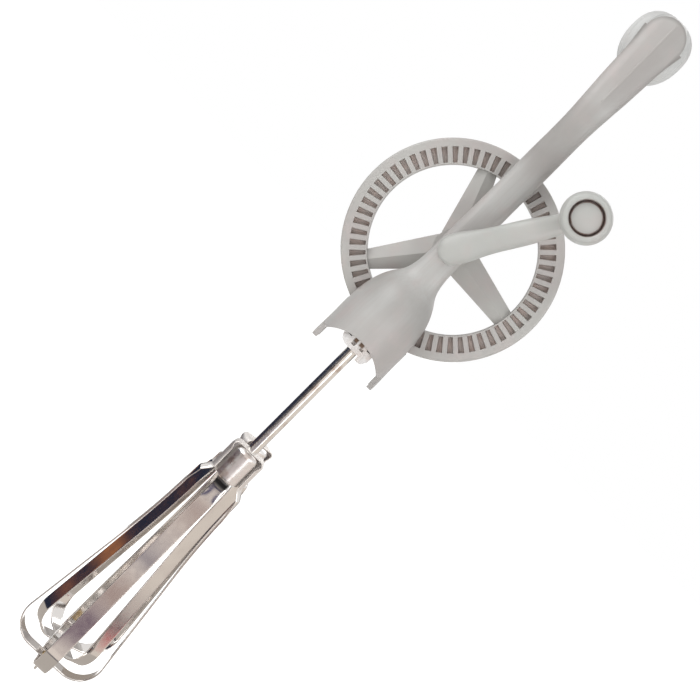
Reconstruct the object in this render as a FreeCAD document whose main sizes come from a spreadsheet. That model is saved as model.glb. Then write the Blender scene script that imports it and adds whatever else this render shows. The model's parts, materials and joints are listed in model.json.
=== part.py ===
import FreeCAD, Part
import math
import os

os.makedirs("parts", exist_ok=True)
doc = FreeCAD.newDocument("HandMixer")
vec = FreeCAD.Vector

# The tool stands along Z with its handle up and the crank towards -Y. Every piece is drawn in a
# frame centred on the wheel axis and then lifted, so that the frame's origin is the point of the
# tool's axis where the lid of the jar meets the bell.
sizes = [
    ("mouthDrop", 47.6, "wheel axis down to the rim of the bell, where the lid seats"),
    ("wheelRadius", 38.0, "outside of the drive wheel"),
    ("rimWidth", 8.9, "radial width of the toothed rim"),
    ("rimThick", 6.4, "rim, face to face"),
    ("rimEdge", 0.8, "rounding of the outer edges of the rim"),
    ("toothCount", 58, "bars on each face of the rim"),
    ("barWidth", 1.6, "bar, at the face of the rim"),
    ("barDraft", 10.0, "draft of the flanks of a bar, degrees"),
    ("slotDepth", 2.4, "slot between two bars"),
    ("bandWidth", 3.0, "plain band outside the slots"),
    ("lipWidth", 0.4, "thin lip inside the slots"),
    ("spokeFirst", 111.0, "first spoke, degrees from +X towards +Z"),
    ("spokeRoot", 11.9, "spoke width where it leaves the hub"),
    ("spokeTip", 6.8, "spoke width at the rim"),
    ("spokeDeep", 5.4, "spoke from ridge to ridge at the hub"),
    ("spokeShallow", 4.5, "spoke from ridge to ridge at the rim"),
    ("spokeEdge", 2.2, "spoke, front to back at its two edges"),
    ("hubRadius", 7.0, "wheel hub"),
    ("hubFront", 5.6, "wheel mid-plane to the front of its hub"),
    ("hubRear", 5.0, "wheel mid-plane to the back of its hub"),
    ("toothFoot", 1.4, "pinion tooth across its foot"),
    ("toothPitch", 0.9, "pinion tooth across at the pitch circle"),
    ("toothTip", 0.4, "pinion tooth across near its tip"),
    ("stubRadius", 1.75, "round end of the axle behind the hub"),
    ("stubLong", 2.6, "length of that end"),
    ("keeperThick", 0.8, "washer behind the hub"),
    ("keeperRadius", 4.6, "washer behind the hub"),
    ("clipRadius", 3.7, "push-on clip over the end of the axle"),
    ("clipThick", 0.5, "sheet of that clip"),
    ("pinionTeeth", 12, "teeth of each pinion"),
    ("pitchPlane", 2.6, "wheel mid-plane to the plane where the teeth roll"),
    ("pinionAddendum", 1.0, "tooth tip beyond the pitch circle"),
    ("pinionDedendum", 1.2, "tooth root inside the pitch circle"),
    ("pinionLong", 4.3, "pinion along its shaft"),
    ("shaftRadius", 2.05, "beater shaft"),
    ("runningFit", 0.05, "radial play of what turns"),
    ("seatFit", 0.02, "radial play of what is fixed"),
    ("endPlay", 0.3, "play along a shaft"),
    ("washerThick", 0.5, "thrust washer"),
    ("roofRoom", 1.5, "pinion to the roof of the bell"),
    ("shaftInRoof", 3.7, "shaft end above the roof's underside"),
    ("journalDeep", 4.0, "bore in the roof for the end of a shaft"),
    ("headRadius", 3.0, "head of a shaft under the blades"),
    ("headThick", 1.2, "head of a shaft"),
    ("bellHalfWide", 13.9, "bell, half its width across the wheel plane"),
    ("bellWall", 1.6, "wall of the bell"),
    ("bellFit", 0.6, "pinion tip to the wall of the bell"),
    ("bellyDrop", 35.0, "wheel axis down to where the bell starts to narrow"),
    ("shoulderDrop", 26.0, "wheel axis down to the shoulder"),
    ("waistDrop", 19.0, "wheel axis down to the waist"),
    ("throatDrop", 14.0, "wheel axis down to the throat"),
    ("rimBand", 3.0, "upright band of the bell above its rim"),
    ("rimFlare", 0.1, "flare of the bell down to the tips of its prongs"),
    ("archRise", 5.3, "arch in the front and back walls of the bell"),
    ("prongDrop", 5.5, "lid prong below the rim"),
    ("prongHalfWide", 5.0, "lid prong, half its width"),
    ("latchDeep", 1.0, "latch inside a prong, from the wall"),
    ("latchHalfWide", 2.0, "latch, half its width"),
    ("latchRise", 1.3, "top of a latch above the rim"),
    ("latchDrop", 1.6, "foot of a latch below the rim"),
    ("shoulderHalfWide", 12.7, "bell at the shoulder, half its width"),
    ("waistHalfWide", 9.5, "bell at the waist, half its width"),
    ("throatHalfWide", 6.6, "bell at the throat, half its width"),
    ("wheelFit", 1.0, "wheel to the slot that it turns in"),
    ("neckHalfWide", 5.55, "neck, half its width"),
    ("strapHalfWide", 5.4, "strap at its bend, half its width"),
    ("neckDeep", 6.2, "neck and strap, front to back"),
    ("neckFit", 0.25, "hub and crank to the neck"),
    ("bendRise", 38.0, "wheel axis up to the bend of the strap"),
    ("gripRise", 68.0, "wheel axis up to the grip"),
    ("strapForward", 6.6, "how far the grip stands in front of the neck"),
    ("gripHalfWide", 7.4, "grip, half its width near the end"),
    ("strapRise", 104.7, "wheel axis up to the end of the strap"),
    ("runout", 2.0, "how far a blank runs past the face that trims it"),
    ("knobInset", 8.4, "end of the strap down to the middle of the palm knob"),
    ("knobHalfWide", 11.2, "palm knob, half its width"),
    ("knobAbove", 12.3, "palm knob, middle to its top"),
    ("knobBelow", 14.2, "palm knob, middle to its lower end"),
    ("knobBehind", 9.45, "back of the strap to the axis of the palm knob"),
    ("knobFit", 0.35, "back of the strap to the flat of the palm knob"),
    ("knobFlutes", 20, "flutes round the palm knob"),
    ("fluteDeep", 0.45, "depth of a flute"),
    ("spigotRadius", 3.5, "spigot that carries the palm knob"),
    ("spigotLong", 12.0, "spigot behind the strap"),
    ("axleRadius", 2.5, "wheel axle in the neck"),
    ("axleSquare", 3.6, "square ends of the axle"),
    ("crankReach", 42.6, "wheel axis to the axis of the crank knob"),
    ("crankAngle", 58.3, "crank at rest, degrees from +X towards +Z"),
    ("crankFit", 1.0, "crank arm to the front of the bell"),
    ("crankThick", 4.6, "crank arm"),
    ("crankHubDeep", 6.2, "hub of the crank along the axle"),
    ("crankHubRadius", 5.1, "hub end of the crank arm"),
    ("crankTipRadius", 3.3, "knob end of the crank arm"),
    ("crankRound", 1.3, "rounding of the boss"),
    ("crankCover", 1.45, "plastic in front of the axle's square end"),
    ("bossRadius", 6.4, "boss under the crank knob"),
    ("bossRise", 1.0, "boss above the face of the arm"),
    ("pinRadius", 2.5, "pin of the crank knob"),
    ("knobRadius", 8.3, "crank knob at its widest"),
    ("knobLength", 16.2, "crank knob along its pin"),
    ("recessRadius", 5.7, "recess in the end of the crank knob"),
    ("recessDeep", 3.3, "depth of that recess"),
    ("recessLip", 0.9, "rounded edge of that recess"),
    ("pinHeadRadius", 5.1, "head of the pin"),
    ("pinHeadThick", 1.9, "head of the pin, with its dome"),
    ("bushHalfWide", 6.3, "shaft bush across the bell, half its width"),
    ("bushThick", 3.2, "plate of the shaft bush"),
    ("bushRound", 3.0, "rounded lower corner of the bush"),
    ("bushFit", 0.1, "bush to the walls of the bell"),
    ("bushWall", 1.5, "walls of the plate round its hollow underside"),
    ("bushSkin", 1.2, "top of the plate over that hollow"),
    ("footDrop", 1.7, "foot below the plate at its front"),
    ("footWide", 3.2, "foot across"),
    ("tongueWide", 7.0, "tongue on each end of the bush"),
    ("tongueDeep", 3.0, "tongue, front to back"),
    ("tongueRise", 4.5, "tongue above the plate"),
    ("windowWide", 1.5, "moulding window in the front of the bush"),
    ("windowDeep", 1.5, "depth of that window"),
    ("windowLeft", 1.3, "middle of the bush to the left window"),
    ("windowRight", 2.0, "middle of the bush to the right window"),
    ("windowUp", 0.6, "middle of the plate up to both windows"),
    ("bushDrop", 43.4, "wheel axis down to the top of the bush plate"),
    ("towerRadius", 3.5, "tower of the bush round a shaft"),
    ("cupDrop", 95.0, "wheel axis down to the top of a beater cup"),
    ("cupLong", 12.0, "beater cup"),
    ("cupRadius", 5.0, "beater cup"),
    ("cupRound", 1.8, "rounded top edge of a cup"),
    ("stripWide", 5.4, "beater strip across"),
    ("stripThick", 0.5, "beater strip through"),
    ("stripGap", 1.3, "cup to the strip beside it"),
    ("stripRound", 2.2, "bend of the strip over the edge of a cup"),
    ("beaterTurn", 5.0, "front beater at rest, turned from the wheel's plane, degrees"),
    ("beaterPhase", 45.0, "sum of the turns of the two beaters, which keeps their blades apart"),
    ("flareRadius", 9.3, "blades below the cup, from the shaft"),
    ("flareDrop", 2.6, "cup bottom down to the foot of the flare"),
    ("flareRise", 0.7, "cup bottom up to the top of the flare"),
    ("flareTop", 1.2, "bend at the top of the flare"),
    ("flareFoot", 1.3, "bend at the foot of the flare"),
    ("innerRound", 1.6, "top corners of an inner loop"),
    ("waistRadius", 10.0, "blades at a quarter of their length, where they bend outward"),
    ("waistFall", 23.0, "cup bottom down to that bend"),
    ("waistRound", 250.0, "radius of that bend"),
    ("beaterRadius", 17.7, "where the blades would meet the floor without their corners"),
    ("cornerRadius", 9.0, "bottom corners of a loop"),
    ("beaterDrop", 192.0, "wheel axis down to the floor of the beater"),
    ("rivetRadius", 1.3, "rivet through the crossing of the loops"),
    ("rivetLip", 0.8, "head of the rivet beyond its shank"),
    ("rivetHead", 0.6, "thickness of a rivet head"),
    ("hookRadius", 1.7, "wire eye under the front beater"),
    ("hookWire", 0.5, "radius of its wire"),
]
sheet = doc.addObject("Spreadsheet::Sheet", "Sizes")
for row, (name, value, note) in enumerate(sizes, 1):
    sheet.set("A%d" % row, name)
    sheet.set("B%d" % row, str(value))
    sheet.setAlias("B%d" % row, name)
    sheet.set("C%d" % row, note)
doc.recompute()


def size(name):
    """One driving size, read from the sheet."""
    return float(sheet.get(name))


# Places that follow from the sizes
shaftFit = size("shaftRadius") + size("runningFit")
shaftSeat = size("shaftRadius") + size("seatFit")
halfRim = size("rimThick") / 2
rimInner = size("wheelRadius") - size("rimWidth")
slotInner = rimInner + size("lipWidth")
slotOuter = size("wheelRadius") - size("bandWidth")
toothRadius = (slotInner + slotOuter) / 2
pitchAngle = 2 * math.pi / size("toothCount")
pinionPitch = toothRadius * size("pinionTeeth") / size("toothCount")
pinionTip = pinionPitch + size("pinionAddendum")
pinionRoot = pinionPitch - size("pinionDedendum")
shaftSide = size("pitchPlane") + pinionPitch
pinionTop = -toothRadius + size("pinionLong") / 2
pinionBase = -toothRadius - size("pinionLong") / 2
roofLevel = pinionTop + size("roofRoom")
bellHalfDeep = shaftSide + pinionTip + size("bellFit") + size("bellWall")
neckBack = -(size("hubFront") + size("neckFit"))
neckFront = neckBack - size("neckDeep")
neckMiddle = (neckBack + neckFront) / 2
gripMiddle = neckMiddle - size("strapForward")
gripBack = gripMiddle + size("neckDeep") / 2
knobRise = size("strapRise") - size("knobInset")
knobAxis = gripBack + size("knobBehind")
crankBack = neckFront - size("neckFit")
crankFront = crankBack - size("crankHubDeep")
armBack = -(bellHalfDeep + size("crankFit"))
armFront = armBack - size("crankThick")
bossFront = armFront - size("bossRise")
knobBase = bossFront - size("endPlay")
knobEnd = knobBase - size("knobLength")
recessFloor = knobEnd + size("recessDeep")
towerTop = pinionBase - size("washerThick") - size("endPlay")
cupTop = -size("cupDrop")
cupBottom = cupTop - size("cupLong")
floorLevel = -size("beaterDrop")
cutLong = 2 * size("wheelRadius")


def finish(piece, label, turn=0.0, axis=vec(0, 1, 0), side=0.0, along=0.0, rise=0.0):
    """Names a piece and lifts it from the wheel axis to its place above the origin."""
    piece.Label = label
    rotation = FreeCAD.Rotation(axis, turn)
    piece.Placement = FreeCAD.Placement(vec(side, along, rise), rotation)
    piece.setExpression("Placement.Base.z", "Sizes.mouthDrop + %.6f" % rise)
    return piece


def addSolid(label, shape, **place):
    """A piece whose shape comes from Part's own functions."""
    piece = doc.addObject("Part::Feature", label)
    piece.Shape = shape
    return finish(piece, label, **place)


def addCylinder(name, radius, length, start, axis=vec(0, 0, 1)):
    """A cylinder from the point start along an axis; radius and length are expressions or numbers."""
    cylinder = doc.addObject("Part::Cylinder", name)
    cylinder.Placement = FreeCAD.Placement(start, FreeCAD.Rotation(vec(0, 0, 1), axis))
    cylinder.setExpression("Radius", str(radius))
    cylinder.setExpression("Height", str(length))
    return cylinder


def addBox(name, low, high):
    """A box between two corners."""
    box = doc.addObject("Part::Box", name)
    box.Placement.Base = vec(*low)
    box.Length = high[0] - low[0]
    box.Width = high[1] - low[1]
    box.Height = high[2] - low[2]
    return box


def combine(kind, name, base, tool):
    """Part::Cut, Part::Fuse or Part::Common of two objects."""
    result = doc.addObject(kind, name)
    result.Base = base
    result.Tool = tool
    return result


def fuseAll(name, pieces):
    """One solid from several that meet."""
    result = doc.addObject("Part::MultiFuse", name)
    result.Shapes = pieces
    result.Refine = True
    return result


def cutAll(name, base, tools):
    """Takes several tools from a solid, one after the other."""
    for index, tool in enumerate(tools[:-1]):
        base = combine("Part::Cut", "%s_cut_%02d" % (name, index), base, tool)
    return combine("Part::Cut", name, base, tools[-1])


def newBody(label):
    body = doc.addObject("PartDesign::Body", label)
    body.Label = label
    return body


def newSketch(body, role, name, offset=0.0):
    """A sketch on one of the body's own origin planes, moved along that plane's normal."""
    sketch = body.newObject("Sketcher::SketchObject", name)
    plane = [item for item in body.Origin.OriginFeatures if item.Role == role][0]
    sketch.AttachmentSupport = [(plane, "")]
    sketch.MapMode = "FlatFace"
    sketch.AttachmentOffset = FreeCAD.Placement(vec(0, 0, offset), FreeCAD.Rotation())
    return sketch


def drawOutline(sketch, outline):
    """A closed outline: (x, y) ends a straight run, (x, y, mx, my) ends an arc through (mx, my)."""
    start = vec(outline[-1][0], outline[-1][1], 0)
    for corner in outline:
        end = vec(corner[0], corner[1], 0)
        if len(corner) == 4:
            sketch.addGeometry(Part.Arc(start, vec(corner[2], corner[3], 0), end), False)
        else:
            sketch.addGeometry(Part.LineSegment(start, end), False)
        start = end


def addPad(body, sketch, name, length):
    pad = body.newObject("PartDesign::Pad", name)
    pad.Profile = sketch
    pad.setExpression("Length", str(length))
    body.Tip = pad
    return pad


def paddedBody(label, outline, low, high):
    """A plate between y = low and y = high whose outline of (x, z) points stands in the XZ plane."""
    body = newBody(label)
    sketch = newSketch(body, "XZ_Plane", label + "_outline", -high)
    drawOutline(sketch, outline)
    addPad(body, sketch, label + "_pad", high - low)
    return body


def turnedBody(label, role, outline):
    """A turned piece: an outline of (radius, height) points spun about the sketch's upright axis."""
    body = newBody(label)
    sketch = newSketch(body, role, label + "_outline")
    drawOutline(sketch, outline)
    turned = body.newObject("PartDesign::Revolution", label + "_turned")
    turned.Profile = sketch
    turned.ReferenceAxis = (sketch, ["V_Axis"])
    turned.Angle = 360
    body.Tip = turned
    return body


# ---- Moulded frame: bell, neck and strap

def ovalWire(halfWide, halfDeep, middle, level, power=2.5, points=12):
    """A smooth closed section: a superellipse of the given half-axes, centred at y = middle."""
    ring = []
    for step in range(points):
        angle = 2 * math.pi * step / points
        across = abs(math.cos(angle) / halfWide) ** power
        deep = abs(math.sin(angle) / halfDeep) ** power
        reach = (across + deep) ** (-1 / power)
        ring.append(vec(reach * math.cos(angle), middle + reach * math.sin(angle), level))
    curve = Part.BSplineCurve()
    curve.interpolate(Points=ring, PeriodicFlag=True)
    return Part.Wire([curve.toShape()])


def loftOf(name, wires, degree=5):
    """A smooth solid through closed sections."""
    sections = []
    for index, wire in enumerate(wires):
        section = doc.addObject("Part::Feature", "%s_section_%02d" % (name, index))
        section.Shape = wire
        sections.append(section)
    loft = doc.addObject("Part::Loft", name)
    loft.Sections = sections
    loft.Solid = True
    loft.Ruled = False
    loft.MaxDegree = degree
    return loft


def between(low, high, share):
    """The level at a share of the way from one level to another."""
    return low + (high - low) * share


def frameSections():
    """Sections from the mouth of the bell up to the end of the strap."""
    wide = size("bellHalfWide")
    deep = bellHalfDeep
    neck = size("neckHalfWide")
    strap = size("strapHalfWide")
    grip = size("gripHalfWide")
    thick = size("neckDeep") / 2
    bend = size("bendRise")
    gripBase = size("gripRise")
    end = size("strapRise")
    flare = size("rimFlare")
    bottom = -(size("mouthDrop") + size("prongDrop"))
    bell = [
        ovalWire(wide + flare, deep + flare, 0, bottom, 2.2),
        ovalWire(wide, deep, 0, size("rimBand") - size("mouthDrop"), 2.2),
        ovalWire(wide, deep, 0, -size("bellyDrop"), 2.2),
        ovalWire(size("shoulderHalfWide"), deep * 0.95, neckMiddle * 0.04, -size("shoulderDrop"), 2.2),
        ovalWire(size("waistHalfWide"), deep * 0.62, neckMiddle * 0.42, -size("waistDrop"), 2.2),
        ovalWire(size("throatHalfWide"), thick * 1.6, neckMiddle * 0.84, -size("throatDrop"), 2.3),
        ovalWire(neck, thick, neckMiddle, -size("throatDrop") * 0.5),
        ovalWire(neck, thick, neckMiddle, 0),
    ]
    # The strap bends forward over the ramp between the bend and the grip, and then runs straight
    strapWires = [ovalWire(strap, thick, neckMiddle, bend * 0.5)]
    for share, forward, halfWide, power in ((-0.13, 0, strap, 2.5), (0.15, 0.16, strap, 2.5),
                                            (0.70, 0.82, strap, 2.4), (1.0, 1.0, strap * 1.1, 2.3)):
        middle = between(neckMiddle, gripMiddle, forward)
        strapWires.append(ovalWire(halfWide, thick, middle, between(bend, gripBase, share), power))
    for share, width in ((0.33, 0.9), (0.65, 1.0)):
        strapWires.append(ovalWire(grip * width, thick, gripMiddle, between(gripBase, end, share), 2.3))
    strapWires.append(ovalWire(grip, thick, gripMiddle, end + size("runout"), 2.3))
    return bell + strapWires


def makeStrapEnd():
    """What is cut off the strap's blank to leave its end round."""
    grip = size("gripHalfWide")
    run = size("runout")
    centre = size("strapRise") - grip
    block = addBox("strap_end_block", (-grip - run, gripMiddle - size("neckDeep"), centre),
                   (grip + run, gripMiddle + size("neckDeep"), size("strapRise") + 2 * run))
    disc = addCylinder("strap_end_round", "Sizes.gripHalfWide", cutLong,
                       vec(0, gripMiddle - cutLong / 2, centre), vec(0, 1, 0))
    return combine("Part::Cut", "strap_end_cut", block, disc)


def makeMouthCutters():
    """The front and back walls end in a shallow arch, and the prongs stand at the two sides."""
    wide = size("bellHalfWide")
    rise = size("archRise")
    halfChord = wide - 1.5 * size("bellWall")
    archRadius = (halfChord ** 2 + rise ** 2) / (2 * rise)
    archCentre = -size("mouthDrop") + rise - archRadius
    past = bellHalfDeep + size("runout")
    cutters = []
    for side in (-1, 1):
        low = size("prongHalfWide") if side > 0 else -past
        high = past if side > 0 else -size("prongHalfWide")
        arch = addCylinder("mouth_arch_%d" % (side + 1), archRadius, high - low,
                           vec(0, low, archCentre), vec(0, 1, 0))
        below = addBox("mouth_below_%d" % (side + 1),
                       (-wide - size("runout"), low, -size("mouthDrop") - 2 * size("prongDrop")),
                       (wide + size("runout"), high, -size("mouthDrop")))
        cutters.extend([arch, below])
    return cutters


def makeLatch(side):
    """Wedge inside a prong that snaps under the collar of the lid."""
    wall = side * (size("bellHalfWide") - size("bellWall") / 2)
    nose = side * (size("bellHalfWide") - size("bellWall") - size("latchDeep"))
    rim = -size("mouthDrop")
    foot = rim - size("latchDrop")
    outline = [(wall, rim + size("latchRise")), (nose, foot + size("latchDeep")), (wall, foot)]
    return paddedBody("latch_%d" % (side + 1), outline, -size("latchHalfWide"), size("latchHalfWide"))


def makeFrame():
    """Bell, neck and strap in one moulding, with the slot that the wheel turns in."""
    blank = loftOf("frame_blank", frameSections())
    rounded = combine("Part::Cut", "frame_rounded", blank, makeStrapEnd())
    spigot = addCylinder("knob_spigot", "Sizes.spigotRadius", gripBack - gripMiddle + size("spigotLong"),
                         vec(0, gripMiddle, knobRise), vec(0, 1, 0))
    solid = fuseAll("frame_solid", [rounded, spigot])

    wide = size("bellHalfWide") - size("bellWall")
    deep = bellHalfDeep - size("bellWall")
    flare = size("rimFlare")
    bottom = -(size("mouthDrop") + size("prongDrop")) - size("runout")
    inside = loftOf("bell_inside", [
        ovalWire(wide + flare, deep + flare, 0, bottom, 2.2),
        ovalWire(wide, deep, 0, size("rimBand") - size("mouthDrop"), 2.2),
        ovalWire(wide, deep, 0, -size("bellyDrop"), 2.2),
        ovalWire(wide * 0.94, deep * 0.98, 0, roofLevel, 2.2),
    ])
    slot = addCylinder("wheel_slot", "Sizes.wheelRadius + Sizes.wheelFit",
                       "Sizes.rimThick + 2 * Sizes.wheelFit",
                       vec(0, -halfRim - size("wheelFit"), 0), vec(0, 1, 0))
    axleBore = addCylinder("axle_bore", "Sizes.axleRadius + Sizes.runningFit", cutLong,
                           vec(0, -cutLong / 2, 0), vec(0, 1, 0))
    hubRoom = addCylinder("hub_room", "Sizes.hubRadius + Sizes.wheelFit", bellHalfDeep - neckBack,
                          vec(0, neckBack, 0), vec(0, 1, 0))
    crankSeat = addCylinder("crank_seat", "Sizes.crankHubRadius + Sizes.wheelFit", bellHalfDeep,
                            vec(0, neckFront - bellHalfDeep, 0), vec(0, 1, 0))
    cutters = [inside, slot, hubRoom, crankSeat, axleBore] + makeMouthCutters()
    for side in (-1, 1):
        journal = addCylinder("journal_%d" % (side + 1), "Sizes.shaftRadius + Sizes.runningFit",
                              "Sizes.journalDeep", vec(0, side * shaftSide, roofLevel))
        cutters.append(journal)
    hollow = cutAll("frame_hollow", solid, cutters)
    frame = fuseAll("frame_body", [hollow, makeLatch(-1), makeLatch(1)])
    return finish(frame, "frame_body")


def makePalmKnob():
    """Fluted egg behind the end of the strap, flat where it faces the strap, bored for the spigot."""
    count = 2 * int(size("knobFlutes"))
    wires = []
    for share in (-0.985, -0.9, -0.7, -0.35, 0, 0.35, 0.7, 0.9, 0.985):
        reach = size("knobAbove") if share > 0 else size("knobBelow")
        power = 2.5 if share > 0 else 2.0
        radius = size("knobHalfWide") * (1 - abs(share) ** power) ** (1 / power)
        ring = []
        for step in range(count):
            # Every other corner is a ridge, and the bottom of a flute faces straight forward
            angle = 2 * math.pi * step / count - math.pi / 2
            valley = size("fluteDeep") if step % 2 == 0 else 0
            corner = radius * (1 - valley / size("knobHalfWide"))
            ring.append(vec(corner * math.cos(angle), corner * math.sin(angle), share * reach))
        wires.append(Part.makePolygon(ring + ring[:1]))
    egg = Part.makeLoft(wires, True, False, False, 3)
    run = size("knobHalfWide") + size("runout")
    flat = size("knobFit") - size("knobBehind")
    front = Part.makeBox(2 * run, run, 4 * run, vec(-run, flat - run, -2 * run))
    boreLong = size("spigotLong") - size("knobFit") + size("endPlay")
    bore = Part.makeCylinder(size("spigotRadius") + size("seatFit"), boreLong,
                             vec(0, flat, 0), vec(0, 1, 0))
    return addSolid("palm_knob", egg.cut([front, bore]), along=knobAxis, rise=knobRise)


# ---- Wheel, crank and crank knob

def slotCutter(side, angle):
    """One tapered slot between two bars, on the front (side -1) or back (side 1) of the rim."""
    outerHalf = pitchAngle * slotOuter / 2 - size("barWidth") / 2
    innerHalf = pitchAngle * slotInner / 2 - size("barWidth") / 2
    draft = math.tan(math.radians(size("barDraft")))
    rings = []
    for depth in (-size("lipWidth"), size("slotDepth")):
        narrow = draft * depth
        y = side * (halfRim - depth)
        corners = [
            vec(-innerHalf + narrow, y, -slotInner),
            vec(innerHalf - narrow, y, -slotInner),
            vec(outerHalf - narrow, y, -slotOuter),
            vec(-outerHalf + narrow, y, -slotOuter),
        ]
        rings.append(Part.makePolygon(corners + corners[:1]))
    cutter = Part.makeLoft(rings, True, True)
    cutter.rotate(vec(0, 0, 0), vec(0, 1, 0), math.degrees(angle))
    return cutter


def makeWheel():
    """Crown wheel with bars on both faces, three ridged spokes and a square bore."""
    outer = size("wheelRadius")
    edge = size("rimEdge")
    slope = edge * (1 - math.sqrt(0.5))
    ring = turnedBody("rim_ring", "XY_Plane", [
        (rimInner, -halfRim), (outer - edge, -halfRim),
        (outer, edge - halfRim, outer - slope, slope - halfRim), (outer, halfRim - edge),
        (outer - edge, halfRim, outer - slope, halfRim - slope), (rimInner, halfRim),
    ])
    slots = doc.addObject("Part::Feature", "rim_slots")
    count = int(size("toothCount"))
    slots.Shape = Part.makeCompound([slotCutter(side, index * pitchAngle)
                                     for side in (-1, 1) for index in range(count)])
    toothed = combine("Part::Cut", "rim_toothed", ring, slots)
    hub = addCylinder("wheel_hub", "Sizes.hubRadius", "Sizes.hubFront + Sizes.hubRear",
                      vec(0, -size("hubFront"), 0), vec(0, 1, 0))
    spokes = []
    for index in range(3):
        root = ridgeWire(size("spokeRoot") / 2, size("spokeDeep") / 2, size("hubRadius") * 0.6)
        tip = ridgeWire(size("spokeTip") / 2, size("spokeShallow") / 2, rimInner + size("lipWidth") / 2)
        spoke = doc.addObject("Part::Feature", "spoke_%d" % index)
        spoke.Shape = Part.makeLoft([root, tip], True, True)
        turn = -(size("spokeFirst") + 120 * index)
        spoke.Placement = FreeCAD.Placement(vec(0, 0, 0), FreeCAD.Rotation(vec(0, 1, 0), turn))
        spokes.append(spoke)
    solid = fuseAll("wheel_solid", [toothed, hub] + spokes)
    half = size("axleSquare") / 2 + size("seatFit")
    run = size("runout")
    bore = addBox("wheel_bore", (-half, -size("hubFront") - run, -half), (half, size("hubRear") + run, half))
    wheel = combine("Part::Cut", "drive_wheel", solid, bore)
    return finish(wheel, "drive_wheel")


def ridgeWire(halfWide, halfDeep, reach):
    """Section of a spoke, square to X: thin at its edges, with a ridge in front and behind."""
    edge = size("spokeEdge") / 2
    corners = [(halfWide, edge), (0, halfDeep), (-halfWide, edge),
               (-halfWide, -edge), (0, -halfDeep), (halfWide, -edge)]
    ring = [vec(reach, deep, across) for across, deep in corners]
    return Part.makePolygon(ring + ring[:1])


def makeAxle():
    """Steel axle: round where it runs in the neck, square in the crank and the wheel."""
    half = size("axleSquare") / 2
    tip = crankFront + size("crankCover") + size("runningFit")
    square = addBox("axle_square", (-half, tip, -half), (half, size("hubRear"), half))
    journal = addCylinder("axle_journal", "Sizes.axleRadius", size("neckDeep"),
                          vec(0, neckFront, 0), vec(0, 1, 0))
    stub = addCylinder("axle_stub", "Sizes.stubRadius", "Sizes.stubLong",
                       vec(0, size("hubRear"), 0), vec(0, 1, 0))
    axle = fuseAll("crank_axle", [square, journal, stub])
    return finish(axle, "crank_axle")


def makeAxleKeepers():
    """Washer behind the hub and the push-on clip that holds the wheel on its axle."""
    low = size("hubRear")
    high = low + size("keeperThick")
    bore = size("stubRadius") + size("seatFit")
    rim = size("keeperRadius")
    turnedBody("axle_washer", "XY_Plane", [(bore, low), (rim, low), (rim, high), (bore, high)])
    finish(doc.getObject("axle_washer"), "axle_washer")
    edge = size("clipRadius")
    bend = (bore + edge) / 2
    sheet = size("clipThick")
    turnedBody("axle_clip", "XY_Plane", [
        (bore, high + sheet), (bend, high + 0.1), (edge, high), (edge, high + sheet),
        (bend, high + sheet + 0.1), (bore, high + 2 * sheet),
    ])
    finish(doc.getObject("axle_clip"), "axle_clip")


def armWire(reach, halfWide, back, front, points=12):
    """Section of the crank arm, square to X: a flat back, round edges and a crowned front."""
    ring = []
    middle = (back + front) / 2
    halfDeep = (back - front) / 2
    for step in range(points):
        angle = 2 * math.pi * step / points
        across = math.copysign(abs(math.cos(angle)) ** 0.67, math.cos(angle))
        power = 0.55 if math.sin(angle) > 0 else 0.9
        deep = math.copysign(abs(math.sin(angle)) ** power, math.sin(angle))
        ring.append(vec(reach, middle + halfDeep * deep, halfWide * across))
    curve = Part.BSplineCurve()
    curve.interpolate(Points=ring, PeriodicFlag=True)
    return Part.Wire([curve.toShape()])


def makeCrankBoss():
    """Turned boss under the crank knob, with a rounded front edge."""
    radius = size("bossRadius")
    edge = size("crankRound")
    slope = edge * (1 - math.sqrt(0.5))
    boss = turnedBody("crank_boss", "XY_Plane", [
        (0, armBack), (radius, armBack), (radius, bossFront + edge),
        (radius - edge, bossFront, radius - slope, bossFront + slope), (0, bossFront),
    ])
    boss.Placement = FreeCAD.Placement(vec(size("crankReach"), 0, 0), FreeCAD.Rotation())
    return boss


def makeCrankArm():
    """Arm that steps forward past the bell, with a hub on the axle and a boss for the knob's pin."""
    reach = size("crankReach")
    hub = size("crankHubRadius")
    tip = size("crankTipRadius")
    middle = between(crankBack, crankFront, 0.5)
    wires = []
    # Over the axle the arm ends in a half circle whose front and back round off with its outline
    for share in (0.96, 0.75, 0.4):
        narrow = math.sqrt(1 - share ** 2)
        shallow = narrow ** 0.6
        wires.append(armWire(-hub * share, hub * narrow, between(middle, crankBack, shallow),
                             between(middle, crankFront, shallow)))
    wires += [
        armWire(0, hub, crankBack, crankFront),
        armWire(reach * 0.16, between(hub, tip, 0.15), between(crankBack, armBack, 0.25),
                between(crankFront, armFront, 0.2)),
        armWire(reach * 0.46, between(hub, tip, 0.5), armBack, armFront),
        armWire(reach * 0.75, between(hub, tip, 0.8), armBack, armFront),
        armWire(reach, tip, armBack, armFront),
    ]
    solid = fuseAll("crank_solid", [loftOf("arm", wires, 3), makeCrankBoss()])
    half = size("axleSquare") / 2 + size("seatFit")
    run = size("runout")
    socket = addBox("crank_socket", (-half, crankFront + size("crankCover"), -half),
                    (half, crankBack + run, half))
    turn = FreeCAD.Rotation(vec(0, 1, 0), size("crankAngle"))
    socket.Placement = FreeCAD.Placement(turn.multVec(socket.Placement.Base), turn)
    hole = addCylinder("crank_pin_hole", "Sizes.pinRadius + Sizes.seatFit", armBack - bossFront + 2 * run,
                       vec(reach, bossFront - run, 0), vec(0, 1, 0))
    holes = combine("Part::Fuse", "crank_holes", socket, hole)
    crank = combine("Part::Cut", "crank_arm", solid, holes)
    return finish(crank, "crank_arm", turn=-size("crankAngle"))


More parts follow.
